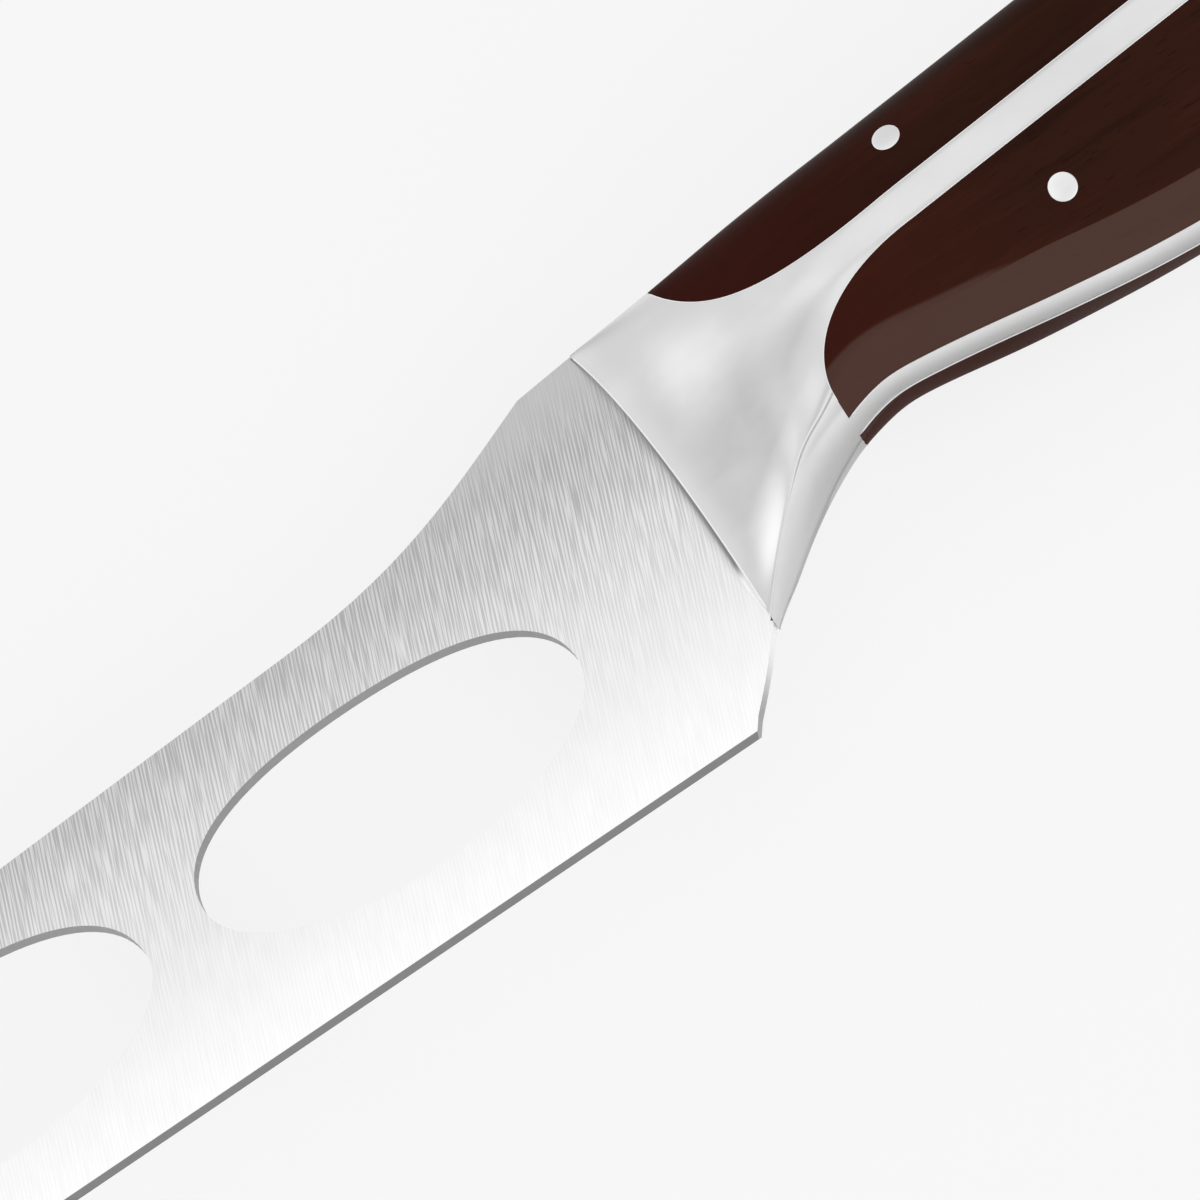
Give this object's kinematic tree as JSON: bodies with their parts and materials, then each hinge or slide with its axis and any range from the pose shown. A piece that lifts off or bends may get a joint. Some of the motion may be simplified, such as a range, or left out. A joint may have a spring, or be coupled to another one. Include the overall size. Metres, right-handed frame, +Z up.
{
  "type": "cheese knife",
  "caption": "Knife for semi-hard cheese: pierced steel blade with a forked tip, swept polished bolster, and wooden scales pinned to a steel handle frame.",
  "frame": {"origin": "under the middle of the bounding box, on the table the knife lies on", "axes": "the knife lies on its side: +X runs along the cutting edge towards the butt, +Y across the blade towards the spine, +Z up from the table, square to the blade's face"},
  "size_m": [0.265, 0.0464, 0.018],
  "materials": {
    "blade_steel": "brushed",
    "frame_steel": "polished",
    "scale_wood": "oiled, satin",
    "pin_steel": "satin"
  },
  "bodies": {
    "root": {"blade": "blade_steel", "handle_frame": "frame_steel", "upper_scale_front": "scale_wood", "lower_scale_front": "scale_wood", "upper_scale_back": "scale_wood", "lower_scale_back": "scale_wood", "upper_pin_1": "pin_steel", "upper_pin_2": "pin_steel", "upper_pin_3": "pin_steel", "lower_pin_1": "pin_steel", "lower_pin_2": "pin_steel", "lower_pin_3": "pin_steel"}
  },
  "joints": []
}
